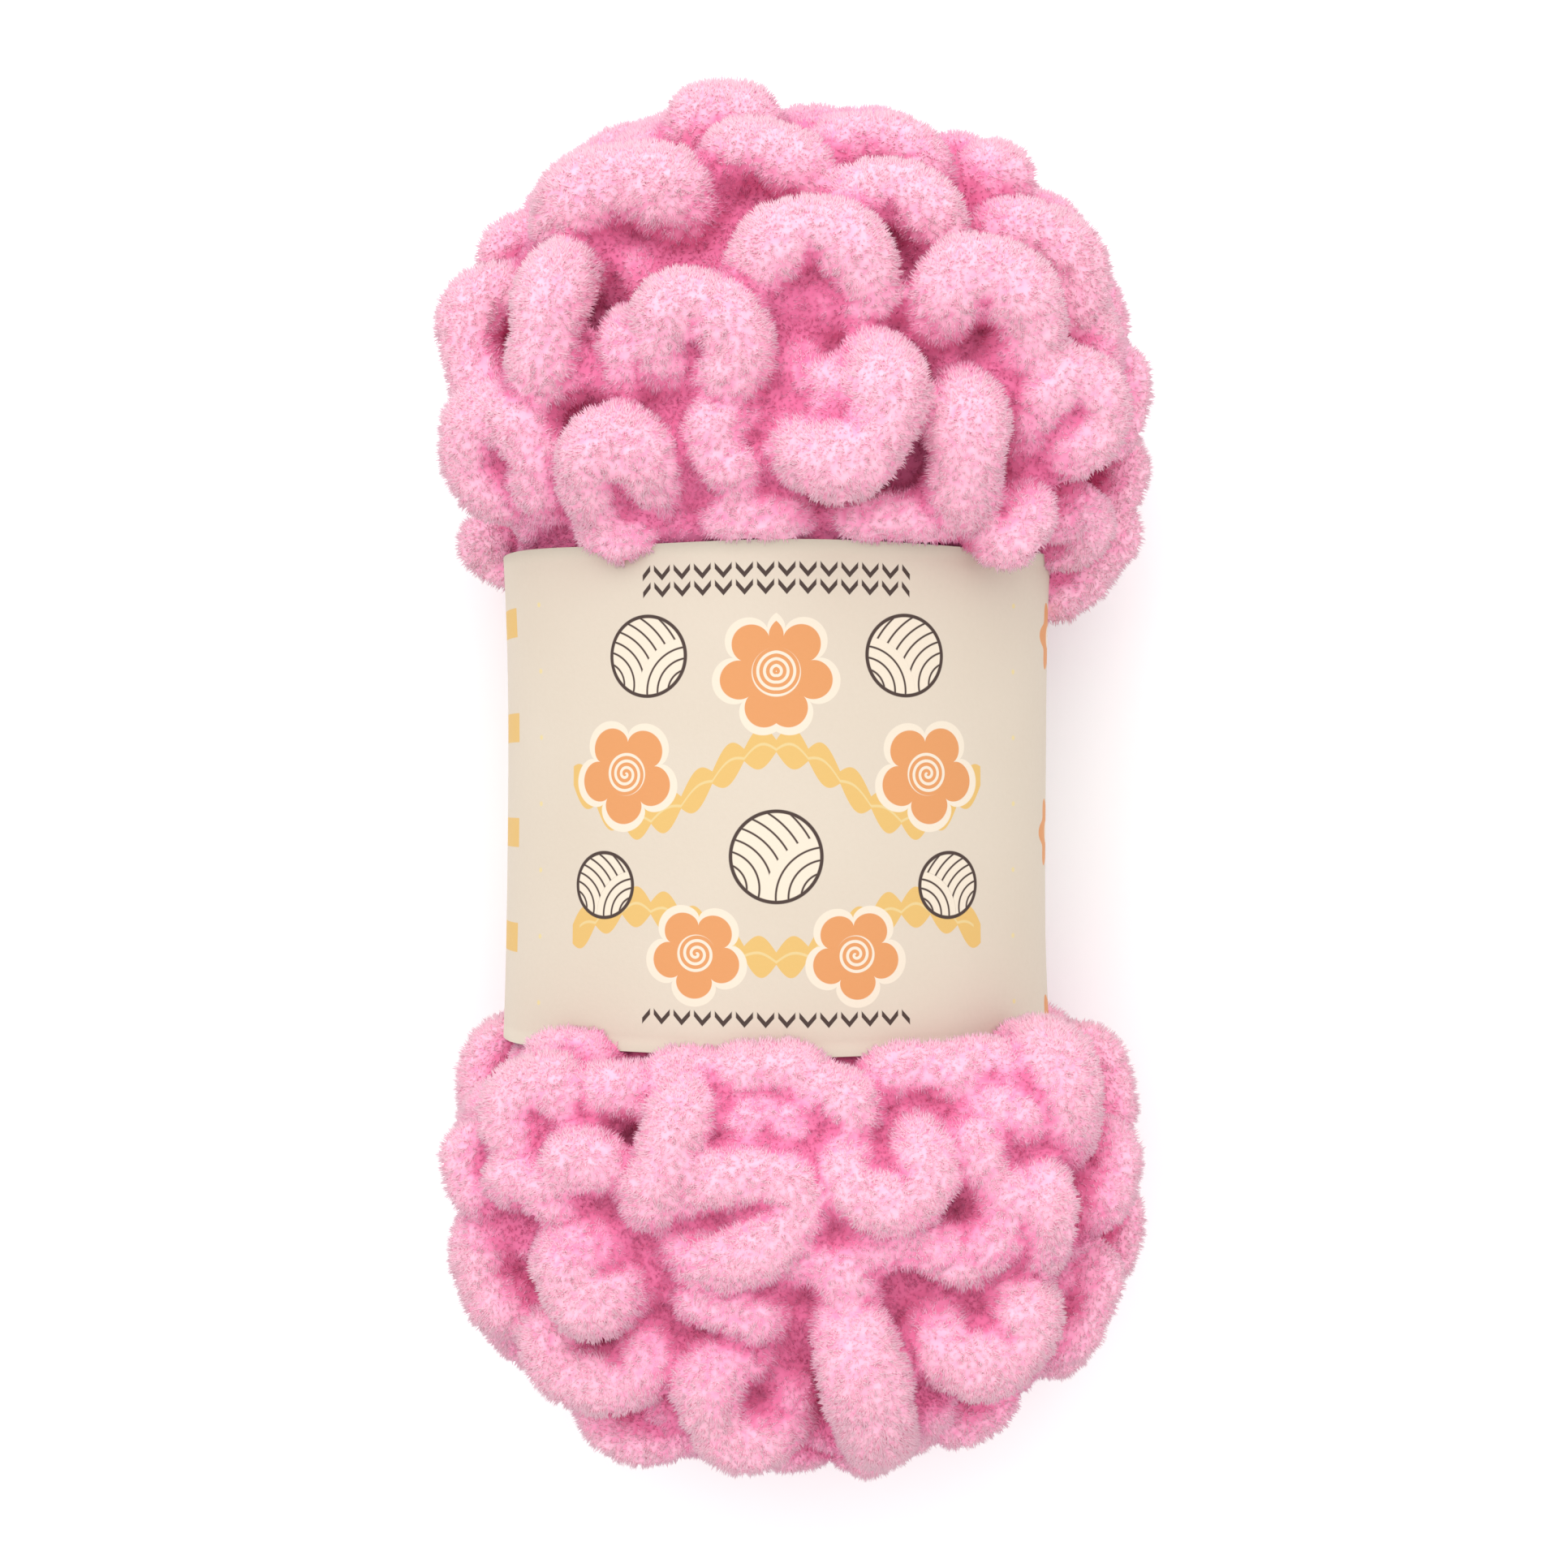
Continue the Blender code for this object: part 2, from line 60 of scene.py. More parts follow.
# Per front loop, in millimetres and degrees: its middle, its half sizes across and along, the turn of
# its crown, how steeply it stands, how much of an ellipse it is, its rise over the others, its thickness.
LOOP_COLUMNS = "x,y,across,along,turn,tilt,sweep,rise,plump"
FRONT_LOOPS = {
    "top": [
        (-12, 109.5, 5.5, 5.5, 80, 0, 240, 0, 0.98),
        (-4, 101, 8, 4, 70, 45, 200, 1.0, 0.98),
        (14, 103, 10, 6, 90, 0, 200, -2, 0.92),
        (16.5, 90.5, 8, 6.5, 80, 0, 230, 0, 1.0),
        (36, 102, 2.5, 4.5, 100, 0, 220, -1, 0.88),
        (41, 85, 8, 7, 45, 0, 210, 0, 1.05),
        (31, 75, 7.5, 7.5, 70, 10, 250, 2.5, 1.1),
        (3, 82, 9, 6.5, 90, 0, 270, 3, 1.03),
        (-28, 94.5, 10, 3.5, 95, 20, 230, 3, 1.22),
        (-48, 91, 3.5, 3, 120, 0, 220, -1, 0.85),
        (-39.5, 75.5, 9, 5, -12, 90, 180, 3, 1.05),
        (-51, 75, 8, 4, 180, 0, 230, 0, 0.98),
        (-27, 70, 5, 4, 0, 90, 190, -1, 0.85),
        (-15, 71.5, 6.5, 5.2, 70, 0, 320, 3, 1.03),
        (-48, 55.5, 6.7, 6.7, 90, 0, 350, 1, 1.07),
        (-28, 50, 5, 7, 100, 0, 250, 3, 1.0),
        (-8, 56, 4.5, 5, 180, 0, 230, 0, 0.9),
        (8, 60, 8.8, 6, -40, 0, 235, 5, 1.12),
        (28, 55, 8.5, 5.5, 0, 90, 180, 2.5, 1.13),
        (45, 61, 5.5, 6.5, 60, 0, 310, 1.5, 0.95),
        (57, 67, 6.5, 2.5, 0, 0, 200, -1, 0.85),
        (58, 53, 6.5, 3, -10, 0, 210, -1, 0.88),
        (47, 43, 5, 5, 60, 0, 250, 0, 0.92),
        (56, 42, 5, 3, -30, 0, 220, -1, 0.85),
        (51, 35, 5.5, 2.5, -50, 0, 210, -2, 0.85),
        (-50, 41, 4, 9, 180, 0, 200, -1, 0.88),
        (-29, 43, 4, 3, -90, 60, 200, 1, 0.8),
        (-6, 43, 7, 3, 90, 60, 200, 0, 0.85),
        (17, 43, 8.5, 3, 90, 60, 200, 0, 0.82),
        (36, 44, 4, 3, -45, 70, 200, 3, 0.88),
        (6, 62.5, 2.5, 2.5, 0, 0, 300, 1, 0.85),
        (2.5, 76, 5, 4, 90, 0, 230, -4, 0.9),
        (-2.5, 65, 5, 4, 0, 0, 230, -4, 0.9),
        (-34, 65, 4, 4, 90, 0, 230, -4, 0.9),
        (-29, 84, 5, 3, 60, 0, 230, -5.5, 0.85),
        (-22, 60.5, 3, 3, 0, 0, 250, -5.5, 0.85),
        (-19, 114, 7, 3, -90, 0, 230, -3, 0.95),
        (7, 114, 8, 4, -90, 0, 230, -3.5, 0.98),
        (30, 107, 6, 3, -90, 0, 230, -5, 0.95),
        (-38, 103, 6, 3, -90, 0, 230, -4, 0.95),
        (-12, 50, 5, 3, 90, 0, 230, -3.5, 0.85),
    ],
    "bottom": [
        (-52, -51, 6.5, 3.5, 160, 0, 230, 0, 0.98),
        (-42, -55, 5, 4.5, 120, 0, 310, 1, 0.95),
        (-52, -65, 3.5, 3, 180, 0, 230, 0, 0.9),
        (-48, -82, 7.5, 5, 170, 0, 240, 0, 1.05),
        (-34, -64, 3, 3, 90, 40, 220, 1, 0.92),
        (-32, -80.5, 4.5, 4.2, 200, 0, 310, 2, 1.1),
        (-29, -51, 3.5, 3, 90, 90, 180, 0, 0.88),
        (-38, -48, 6, 3, 90, 0, 200, -2, 0.85),
        (-17, -51, 5, 3, 90, 0, 200, -0.5, 0.85),
        (33, -50, 5, 3, 80, 0, 200, -0.5, 0.9),
        (-10, -70.5, 6.5, 10.5, 15, 0, 330, 2, 0.97),
        (-20, -60, 9, 4, -20, 90, 190, 2, 1.0),
        (-4, -50, 7, 2.5, 90, 30, 200, 1.5, 0.9),
        (6, -54, 4, 3, 60, 0, 220, 1, 0.9),
        (15, -62, 6.5, 6.5, -80, 0, 270, 2, 1.0),
        (30, -61, 6, 4, 20, 90, 180, 0, 0.82),
        (21, -50, 7.5, 2.5, 90, 0, 220, 0, 0.85),
        (43, -51, 7.5, 5, 10, 90, 180, 3.5, 1.12),
        (56, -53, 7, 3, 0, 0, 220, -1, 0.85),
        (41, -71, 6.5, 5, 5, 90, 180, 1, 0.92),
        (54, -67, 6, 4, -30, 90, 180, 0, 0.88),
        (57, -80, 5, 3, 0, 0, 220, -1, 0.82),
        (50, -90, 7, 2.5, -15, 0, 210, -1, 0.82),
        (19, -79.5, 11, 4, 85, 0, 220, 0, 0.9),
        (31.5, -90, 7.5, 4.8, -60, 0, 290, 1.5, 1.12),
        (11.5, -98.5, 14, 4, 15, 85, 150, 3.5, 1.2),
        (-6, -102, 7.5, 8, 200, 0, 250, 0, 1.05),
        (-32.5, -95, 8.5, 5.5, -90, 0, 270, 0, 1.0),
        (-10, -87, 7, 3, 75, 70, 200, -1, 0.85),
        (30, -108, 6, 4, -80, 0, 220, -3, 0.9),
        (-26, -110, 8, 4, -80, 0, 220, -1, 0.9),
        (-4, -58, 5, 3, 90, 0, 230, -1, 0.92),
        (31, -70, 5, 4, 0, 0, 250, -1.5, 0.95),
        (35, -57, 3, 3, 90, 0, 230, -1, 0.95),
        (4, -82, 6, 4, 60, 0, 230, -1.5, 0.95),
        (-43, -69, 5, 3.5, 60, 0, 230, -1, 0.95),
        (0, -104, 4, 4, 0, 90, 200, -4, 0.85),
        (26, -98, 3, 3, 0, 0, 230, -4, 0.85),
    ],
}
OUTER_LOOPS = 92  # a lobe has this many on its sides, end and back
INNER_LOOPS = 112  # and this many under them, which show between the others
INNER_DEPTH = 6.5 * MM
GOLDEN_ANGLE = math.pi * (3 - math.sqrt(5))
SPACING = 11.0 * MM  # an outer loop keeps this far from the loops of the table
FRONT_SUNK = 4.5 * MM  # and on the front it lies this much lower than they do
DRAWN_IN = 0.8 * MM  # the loops lie this far inside the lobe's form, so that the tips of the pile reach it
TABLE_DRAWN_IN = 0.985  # and the table's places are drawn in with them
FACE_UP = 0.6  # how far the table's loops are turned to face up, where 0 is straight out of the lobe
LEG_DIVE = 9.0 * MM  # how far the two legs of a loop go down into the skein
LOOP_BEND = 42.0 * MM  # the radius to which a loop that lies flat is bent over its lobe
UNEVEN_ROUND = 0.07  # how far a loop leaves its ellipse
UNEVEN_STRAND = 0.06  # and the strand its even thickness
LOOP_STATIONS = 29
STRAND_SIDES = 16


def unit(vectors):
    """Each vector over its length."""
    return vectors / np.maximum(np.linalg.norm(vectors, axis=-1, keepdims=True), 1e-9)


def columns(rows):
    """The rows as a record of arrays, one for each named column."""
    return np.rec.fromarrays(np.array(rows, float).T, names=LOOP_COLUMNS)


class LobeForm:
    """A superellipsoid |x/a|^p + |y/b|^p + |z/c|^p = 1 whose p differs on its two sides along Y, drawn
    in by an inset."""

    def __init__(self, lobe, inset):
        self.centre = np.array([lobe.x * MM, lobe.y * MM, AXIS_HEIGHT])
        self.size = np.array([lobe.half_width, lobe.half_length, lobe.half_depth]) * MM - inset
        self.lobe = lobe

    def power(self, along):
        """p at these distances along Y from the middle."""
        return np.where(along * self.lobe.y > 0, self.lobe.end_power, self.lobe.neck_power)[..., None]

    def outward(self, points):
        """Unit normals: the gradient of the form, sign(x) |x/a|^(p-1) / a, at each point."""
        away = points - self.centre
        powers = self.power(away[..., 1]) - 1
        return unit(np.sign(away) * np.abs(away / self.size) ** powers / self.size)

    def above(self, x, y):
        """The front of the form over x, y: z = c (1 - |x/a|^p - |y/b|^p)^(1/p), or its middle past it."""
        flat = np.stack([x, y], -1) - self.centre[:2]
        p = self.power(flat[..., 1])[..., 0]
        left = 1 - (np.abs(flat / self.size[:2]) ** p[..., None]).sum(-1)
        z = self.centre[2] + self.size[2] * np.maximum(left, 0) ** (1 / p)
        return np.stack([x, y, z], -1)

    def towards(self, ways):
        """The point in each direction w from the middle: w (|wx/a|^p + |wy/b|^p + |wz/c|^p)^(-1/p)."""
        p = self.power(ways[..., 1])
        reach = (np.abs(ways / self.size) ** p).sum(-1, keepdims=True) ** (-1 / p)
        return self.centre + reach * ways


def loop_lines(loops, base, normal):
    """The middle line of each loop: an uneven ellipse a sin t, b cos t over the sweep of t, laid on the
    skein or tilted out of it, bent over its lobe by d^2 / 2R, and both legs sinking by the fourth power."""
    up = unit(np.array([0.0, 1.0, 0.0]) - normal[:, 1:2] * normal)
    side = np.cross(up, normal)
    turn, tilt = np.radians(loops.turn)[:, None], np.radians(loops.tilt)[:, None]
    crown = np.cos(turn) * side + np.sin(turn) * up
    lateral = np.cross(normal, crown)
    share = np.linspace(-1, 1, LOOP_STATIONS)
    angles = share * np.radians(loops.sweep)[:, None] / 2
    uneven = 1 + UNEVEN_ROUND * np.sin(3 * angles + 5 * turn)
    across = loops.across[:, None] * MM * uneven * np.sin(angles)
    along = loops.along[:, None] * MM * uneven * np.cos(angles)
    forward = along * np.cos(tilt)
    height = loops.rise[:, None] * MM + (along - loops.along[:, None] * MM) * np.sin(tilt)
    height = height - (across**2 + forward**2) / (2 * LOOP_BEND) - LEG_DIVE * share**4
    lines = base[:, None] + across[..., None] * lateral[:, None]
    lines = lines + forward[..., None] * crown[:, None] + height[..., None] * normal[:, None]
    radii = STRAND_RADIUS * loops.plump[:, None] * (1 + UNEVEN_STRAND * np.sin(4 * angles + 3 * turn))
    return lines, radii


def front_loops(lobe, loops):
    """The loops of a table, on the front of the lobe, turned part of the way to face up."""
    form = LobeForm(lobe, STRAND_RADIUS + DRAWN_IN)
    base = form.above(loops.x * TABLE_DRAWN_IN * MM, loops.y * TABLE_DRAWN_IN * MM)
    return loop_lines(loops, base, unit(form.outward(base) + (0, 0, FACE_UP)))


def spiral_loops(lobe, count, inset, avoid):
    """Loops of varied turn and size, the i-th at the share 1 - (2i + 1) / n of the lobe's length and i
    golden angles round it, without those near the points given. Those on the front are sunk."""
    form = LobeForm(lobe, inset)
    i = np.arange(count)
    share = 1 - 2 * (i + 0.5) / count
    ring = np.sqrt(1 - share**2)
    around = i * GOLDEN_ANGLE
    ways = unit(np.stack([ring * np.cos(around), share, ring * np.sin(around)], -1) * form.size)
    base = form.towards(ways)
    normal = form.outward(base)
    # In the order of the table's columns, whose place the base above gives.
    rows = np.stack(
        [
            0 * i,
            0 * i,
            8 + 1.5 * np.sin(2.3 * i),
            5.5 + 1.2 * np.cos(3.7 * i),
            137 * i % 360,
            np.array([0, 40, 10, 70, 0])[i % 5],
            235 + 45 * np.sin(1.7 * i),
            1.8 * np.sin(5.1 * i),
            1.02 + 0.08 * np.cos(2.9 * i),
        ],
        -1,
    )
    if len(avoid):
        apart = np.linalg.norm(base[:, None] - avoid, axis=-1).min(1)
        kept = apart >= SPACING
        base, normal, rows, ways = base[kept], normal[kept], rows[kept], ways[kept]
    sunk = FRONT_SUNK * np.clip(2.5 * ways[:, 2] + 0.5, 0, 1)
    return loop_lines(columns(rows), base - sunk[:, None] * normal, normal)


def all_loops(lobe, table):
    """The middle lines (loops x stations x 3) and radii of a lobe's loops."""
    front = front_loops(lobe, columns(table))
    outer = spiral_loops(lobe, OUTER_LOOPS, STRAND_RADIUS + DRAWN_IN, front[0].mean(1))
    inner = spiral_loops(lobe, INNER_LOOPS, STRAND_RADIUS + INNER_DEPTH, [])
    return [np.concatenate(parts) for parts in zip(front, outer, inner)]


def swept(lines, radii):
    """Round tubes: line(k) + r(k) (cos s N + sin s B), where N is carried along by taking off what of it
    lies along the line. Both ends run to a point."""
    tangent = unit(np.gradient(lines, axis=1))
    across = np.empty_like(lines)
    across[:, 0] = unit(np.cross(tangent[:, 0], (0.31, 0.17, 0.93)))
    for k in range(1, lines.shape[1]):
        before, now = across[:, k - 1], tangent[:, k]
        across[:, k] = unit(before - (before * now).sum(-1, keepdims=True) * now)
    s = np.arange(STRAND_SIDES)[:, None] * 2 * math.pi / STRAND_SIDES
    ring = np.cos(s) * across[:, :, None] + np.sin(s) * np.cross(tangent, across)[:, :, None]
    radii = radii.copy()
    radii[:, [0, -1]] = 0.02 * MM
    return lines[:, :, None] + radii[..., None, None] * ring


# ---- The ground of the plush ------------------------------------------------------------------------
# Under the pile is the knitted ground that holds it, here one closed skin over the loops of each end.
# Its loops are those above, thinner by the pile, on a core of yarn that runs on into the band.

PILE_LENGTH = 1.15 * MM
FULLER = 1.02  # the radius of the ground's strand is that of the loops times this,
PILE_ROOM = 0.85 * MM  # less this for the pile that stands on it
CORE_DEPTH = 11.5 * MM  # how far the core is drawn in from the lobe's form
GROUND_VOXEL = 1.25 * MM
GROUND_LIFT = 0.15 * MM  # the least height of the ground over the table
BAND_X = -2.7 * MM + SKEIN_SHIFT[0]
BAND_Y = -2.7 * MM + SKEIN_SHIFT[1]
BAND_HALF_WIDTH = 48 * MM
BAND_HALF_DEPTH = 35 * MM
BAND_LENGTH = 84 * MM
CAD_PAPER = 1.0 * MM  # the thickness of the band's solid
CAD_CLEARANCE = 0.5 * MM  # and its distance from the yarn's
INSIDE_BAND = 13 * MM  # how far the waist of each end runs on into the band
TUFT_HEIGHT = 0.22 * MM  # of the plush between the cracks in it
CRACK_SPACING = 4.2 * MM
CRACK_WIDTH = 0.3  # in the units of the wavy field that draws the cracks
FINE_GRAIN = 1.3 * MM  # the length of the waves that mottle the ground
OUTERMOST, FADES_OVER = 0.03, 0.17  # shares of the way in to the middle of the lobe, over which the painted shade deepens and the pile grows thinner
WIDE_RING, NARROW_RING = 60, 8  # rounds of averaging
HOLLOW_DEPTH = 2.3 * MM  # under the wide ring, at which the painted shade of a hollow is deepest
CREASE_DEPTH = 0.35 * MM  # and under the narrow one, for the painted shade of a crease


def oval(grow, angles):
    """Points x, z round the band, grow further out than the inner face of its solid."""
    x = BAND_X + (BAND_HALF_WIDTH - CAD_PAPER + grow) * np.cos(angles)
    z = AXIS_HEIGHT + (BAND_HALF_DEPTH - CAD_PAPER + grow) * np.sin(angles)
    return x, z


def core(lobe, inset):
    """Rings of the lobe's own form drawn in by the inset, from pole to pole of its length."""
    polar = np.linspace(0.001, math.pi - 0.001, 25)[:, None]
    around = np.linspace(0, 2 * math.pi, 48, endpoint=False)
    parts = (np.sin(polar) * np.cos(around), np.cos(polar), np.sin(polar) * np.sin(around))
    ways = np.stack(np.broadcast_arrays(*parts), -1)
    return LobeForm(lobe, inset).towards(ways)[:, ::-1]


def waist(lobe):
    """An oval rod of yarn from the middle of the lobe into the band, with both ends drawn to a point."""
    side = math.copysign(1, lobe.y)
    start = BAND_Y - SKEIN_SHIFT[1] + side * (BAND_LENGTH / 2 - INSIDE_BAND)
    angles = np.linspace(0, 2 * math.pi, 64, endpoint=False)
    x, z = oval(-CAD_CLEARANCE - 0.8 * PILE_LENGTH, angles)
    ring = np.stack([x - SKEIN_SHIFT[0], 0 * x, z], -1)
    middle = ring.mean(0)
    stations = ((0.001, start), (1, start), (1, lobe.y * MM), (0.001, lobe.y * MM))
    rings = [middle + share * (ring - middle) + (0, y, 0) for share, y in stations]
    return np.array(rings)[:, :: int(side)]


def tube_faces(count, stations, sides):
    """The quads of count tubes whose points are numbered along their rings, ring by ring."""
    start = np.arange(count)[:, None, None] * stations * sides
    k = np.arange(stations - 1)[:, None] * sides
    i = np.arange(sides)
    j = (i + 1) % sides
    corners = [start + k + i, start + k + j, start + k + sides + j, start + k + sides + i]
    return np.stack(np.broadcast_arrays(*corners), -1).reshape(-1, 4)


def new_mesh(name, points, faces):
    """A smooth mesh from an array of points and an array of faces that all have as many corners."""
    mesh = bpy.data.meshes.new(name)
    count, corners = faces.shape
    mesh.vertices.add(len(points))
    mesh.vertices.foreach_set("co", np.ascontiguousarray(points, np.float32).ravel())
    mesh.loops.add(count * corners)
    mesh.loops.foreach_set("vertex_index", np.ascontiguousarray(faces, np.int32).ravel())
    mesh.polygons.add(count)
    mesh.polygons.foreach_set("loop_start", np.arange(count, dtype=np.int32) * corners)
    mesh.polygons.foreach_set("use_smooth", np.ones(count, bool))
    mesh.update(calc_edges=True)
    return mesh


def remeshed(points, faces, voxel):
    """Points and triangles of one skin round everything that the faces enclose, from voxels."""
    rough = bpy.data.objects.new("rough", new_mesh("rough", points, faces))
    bpy.context.scene.collection.objects.link(rough)
    fuse = rough.modifiers.new("fuse", "REMESH")
    fuse.mode = "VOXEL"
    fuse.voxel_size = voxel
    fused = rough.evaluated_get(bpy.context.evaluated_depsgraph_get()).to_mesh()
    fused.calc_loop_triangles()
    points = np.empty(len(fused.vertices) * 3, np.float32)
    fused.vertices.foreach_get("co", points)
    triangles = np.empty(len(fused.loop_triangles) * 3, np.int32)
    fused.loop_triangles.foreach_get("vertices", triangles)
    bpy.data.objects.remove(rough)
    return points.reshape(-1, 3).astype(float), triangles.reshape(-1, 3)


def neighbours(triangles):
    """Each edge of the triangles once, as the numbers of its two points."""
    ends = np.concatenate([triangles[:, [0, 1]], triangles[:, [1, 2]], triangles[:, [2, 0]]])
    return np.unique(np.sort(ends, 1), axis=0)


def averaged(values, edges, rounds, share=0.6):
    """The values moved by share towards the mean of their neighbours, rounds times over."""
    count = len(values)
    one, other = edges.T
    degree = np.bincount(edges.ravel(), minlength=count)[:, None]
    for _ in range(rounds):
        total = [np.bincount(one, v[other], count) + np.bincount(other, v[one], count) for v in values.T]
        values = values + share * (np.stack(total, 1) / degree - values)
    return values


def corner_normals(points, triangles):
    """The normal at each point: the sum of those of its triangles, by area."""
    a, b, c = (points[triangles[:, k]] for k in range(3))
    total = [
        sum(np.bincount(triangles[:, k], part, len(points)) for k in range(3))
        for part in np.cross(b - a, c - a).T
    ]
    return unit(np.stack(total, 1))


def largest_shell(points, triangles, edges):
    """The points and triangles joined to the most others, with small pockets left out: each point takes
    the lowest label near it until no label changes."""
    label = np.arange(len(points))
    while True:
        before = label.copy()
        np.minimum.at(label, edges[:, 0], label[edges[:, 1]])
        np.minimum.at(label, edges[:, 1], label[edges[:, 0]])
        label = label[label]
        if (label == before).all():
            break
    kept = label == np.bincount(label).argmax()
    number = np.cumsum(kept) - 1
    return points[kept], number[triangles[kept[triangles[:, 0]]]]


def waves(points, length, count, seed):
    """A field between about -1 and 1: the mean of count sine waves of random direction and phase, whose
    lengths lie round the one given, times the root of count, and its slope."""
    rng = np.random.default_rng(seed)
    ways = unit(rng.normal(size=(count, 3)))
    steps = 2 * math.pi / (length * rng.uniform(0.75, 1.35, count))
    phase = points @ (ways * steps[:, None]).T + rng.uniform(0, 2 * math.pi, count)
    scale = 1 / math.sqrt(count)
    return scale * np.sin(phase).sum(1), scale * np.cos(phase) @ (ways * steps[:, None])


def cracks(points):
    """How near each point is to a crack of the pile, where the wavy field f is 0: exp(-(f / width)^2),
    with the field and its slope."""
    field, slope = waves(points, CRACK_SPACING, count=9, seed=5)
    return np.exp(-((field / CRACK_WIDTH) ** 2)), field, slope


def ground(lobe, table):
    """The skin of one end: points, triangles, and at each point its normal, how far it lies under the
    mean of a wide and of a narrow ring of points round it, how deep it is and how far it faces out."""
    lines, radii = all_loops(lobe, table)
    tubes = swept(lines, radii * FULLER - PILE_ROOM)
    parts, faces, start = [], [], 0
    for rings in (tubes, core(lobe, CORE_DEPTH)[None], waist(lobe)[None]):
        parts.append(rings.reshape(-1, 3))
        faces.append(start + tube_faces(*rings.shape[:3]))
        start += len(parts[-1])
    points, triangles = remeshed(np.concatenate(parts) + SKEIN_SHIFT, np.concatenate(faces), GROUND_VOXEL)
    points, triangles = largest_shell(points, triangles, neighbours(triangles))
    edges = neighbours(triangles)
    points = averaged(points, edges, 1)
    normals = corner_normals(points, triangles)
    hollow, crease = (
        ((averaged(points, edges, rounds) - points) * normals).sum(1) for rounds in (WIDE_RING, NARROW_RING)
    )
    form = LobeForm(lobe, 0)
    away = points - form.centre - SKEIN_SHIFT
    power = form.power(away[:, 1])
    depth = 1 - (np.abs(away / form.size) ** power).sum(1) ** (1 / power[:, 0])
    facing = (normals * form.outward(points - SKEIN_SHIFT)).sum(1)
    return points, triangles, normals, hollow, crease, depth, facing


class Wire:
    """One output of a material's nodes. Sums, differences, products and powers of it add Math nodes."""

    def __init__(self, tree, socket=None):
        self.tree = tree
        self.socket = socket

    def node(self, kind, settings=(), inputs=(), output=0):
        """A node of this kind with its settings, then the values or wires of its inputs. The stops of a
        ramp are its two ends and then those between."""
        made = self.tree.nodes.new(kind)
        for name, value in dict(settings).items():
            if name == "stops":
                ramp = made.color_ramp
                for place, colour in value[2:]:
                    ramp.elements.new(place).color = (*colour, 1)
                for element, (place, colour) in zip((ramp.elements[0], ramp.elements[-1]), value[:2]):
                    element.position = place
                    element.color = (*colour, 1)
            else:
                setattr(made, name, value)
        for name, value in dict(inputs).items():
            if isinstance(value, Wire):
                self.tree.links.new(value.socket, made.inputs[name])
            else:
                made.inputs[name].default_value = value
        return Wire(self.tree, made.outputs[output])

    def maths(self, operation, *values, clamp=False):
        """A Math node on wires or numbers."""
        settings = {"operation": operation, "use_clamp": clamp}
        return self.node("ShaderNodeMath", settings, dict(enumerate(values)))

    def mixed(self, share, first, second):
        """A colour between two others, each a wire or three numbers."""
        first, second = ((*c, 1) if isinstance(c, tuple) else c for c in (first, second))
        inputs = {0: share, 6: first, 7: second}
        return self.node("ShaderNodeMix", {"data_type": "RGBA"}, inputs, output=2)

    def __add__(self, other):
        return self.maths("ADD", self, other)

    def __sub__(self, other):
        return self.maths("SUBTRACT", self, other)

    def __rsub__(self, other):
        return self.maths("SUBTRACT", other, self)

    def __mul__(self, other):
        return self.maths("MULTIPLY", self, other)

    def __pow__(self, other):
        return self.maths("POWER", self, other)

    __radd__ = __add__
    __rmul__ = __mul__


def linear(red, green, blue):
    """The shader's colour for a screen colour of 0 to 255."""
    parts = (part / 255 for part in (red, green, blue))
    return tuple(p / 12.92 if p <= 0.04045 else ((p + 0.055) / 1.055) ** 2.4 for p in parts)


def surface(name, constants):
    """A material whose one Principled BSDF takes these constants, and the tree's first wire."""
    material = bpy.data.materials.new(name)
    material.use_nodes = True
    shader = material.node_tree.nodes["Principled BSDF"]
    for socket, value in constants.items():
        shader.inputs[socket].default_value = value
    return material, shader, Wire(material.node_tree)


def fit(wire, shader, socket):
    """The wire led to a socket of the shader."""
    wire.tree.links.new(wire.socket, shader.inputs[socket])


def own_map(wire):
    """Two wires, the u and the v of the piece's own map."""
    place = wire.node("ShaderNodeUVMap", {"uv_map": "OFBake"})
    split = wire.node("ShaderNodeSeparateXYZ", {}, {0: place})
    return split, Wire(wire.tree, split.socket.node.outputs[1])


def give_uv(mesh, uv):
    """The mesh's map from an array of one u, v for each corner of each face."""
    layer = mesh.uv_layers.new(name="OFBake")
    layer.uv.foreach_set("vector", np.ascontiguousarray(uv, np.float32).ravel())


# Both ends are one material. Its map's u is painted shade: how light the yarn is painted, from deepest at
# the bottom of the hollows between loops to lightest on their tops, and its v runs from the root of the
# pile to its tips.
plush, plush_shader, wire = surface(
    "plush_pile",
    {
        "Sheen Weight": 0.06,
        "Sheen Roughness": 0.6,
        "Sheen Tint": (*linear(255, 170, 195), 1),
        "Specular IOR Level": 0.1,
    },
)
painted_light, along = own_map(wire)
painted_shade_ramp = wire.node(
    "ShaderNodeValToRGB",
    {
        "stops": [
            (0.0, linear(216, 98, 146)),
            (1.0, linear(249, 213, 223)),
            (0.25, linear(240, 163, 196)),
            (0.5, linear(247, 196, 216)),
            (0.75, linear(249, 208, 221)),
        ]
    },
    {0: painted_light},
)
# Painted shade inside the pile: the colour turns darker and deeper pink towards the roots.
rooted = wire.mixed((1 - along) * 0.45, painted_shade_ramp, linear(241, 144, 182))
fit(rooted, plush_shader, "Base Color")
fit(0.95 - along * 0.15, plush_shader, "Roughness")


def new_piece(name, mesh):
    """An object of the scene that rides with the skein."""
    piece = bpy.data.objects.new(name, mesh)
    bpy.context.scene.collection.objects.link(piece)
    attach(piece, "root")
    return piece


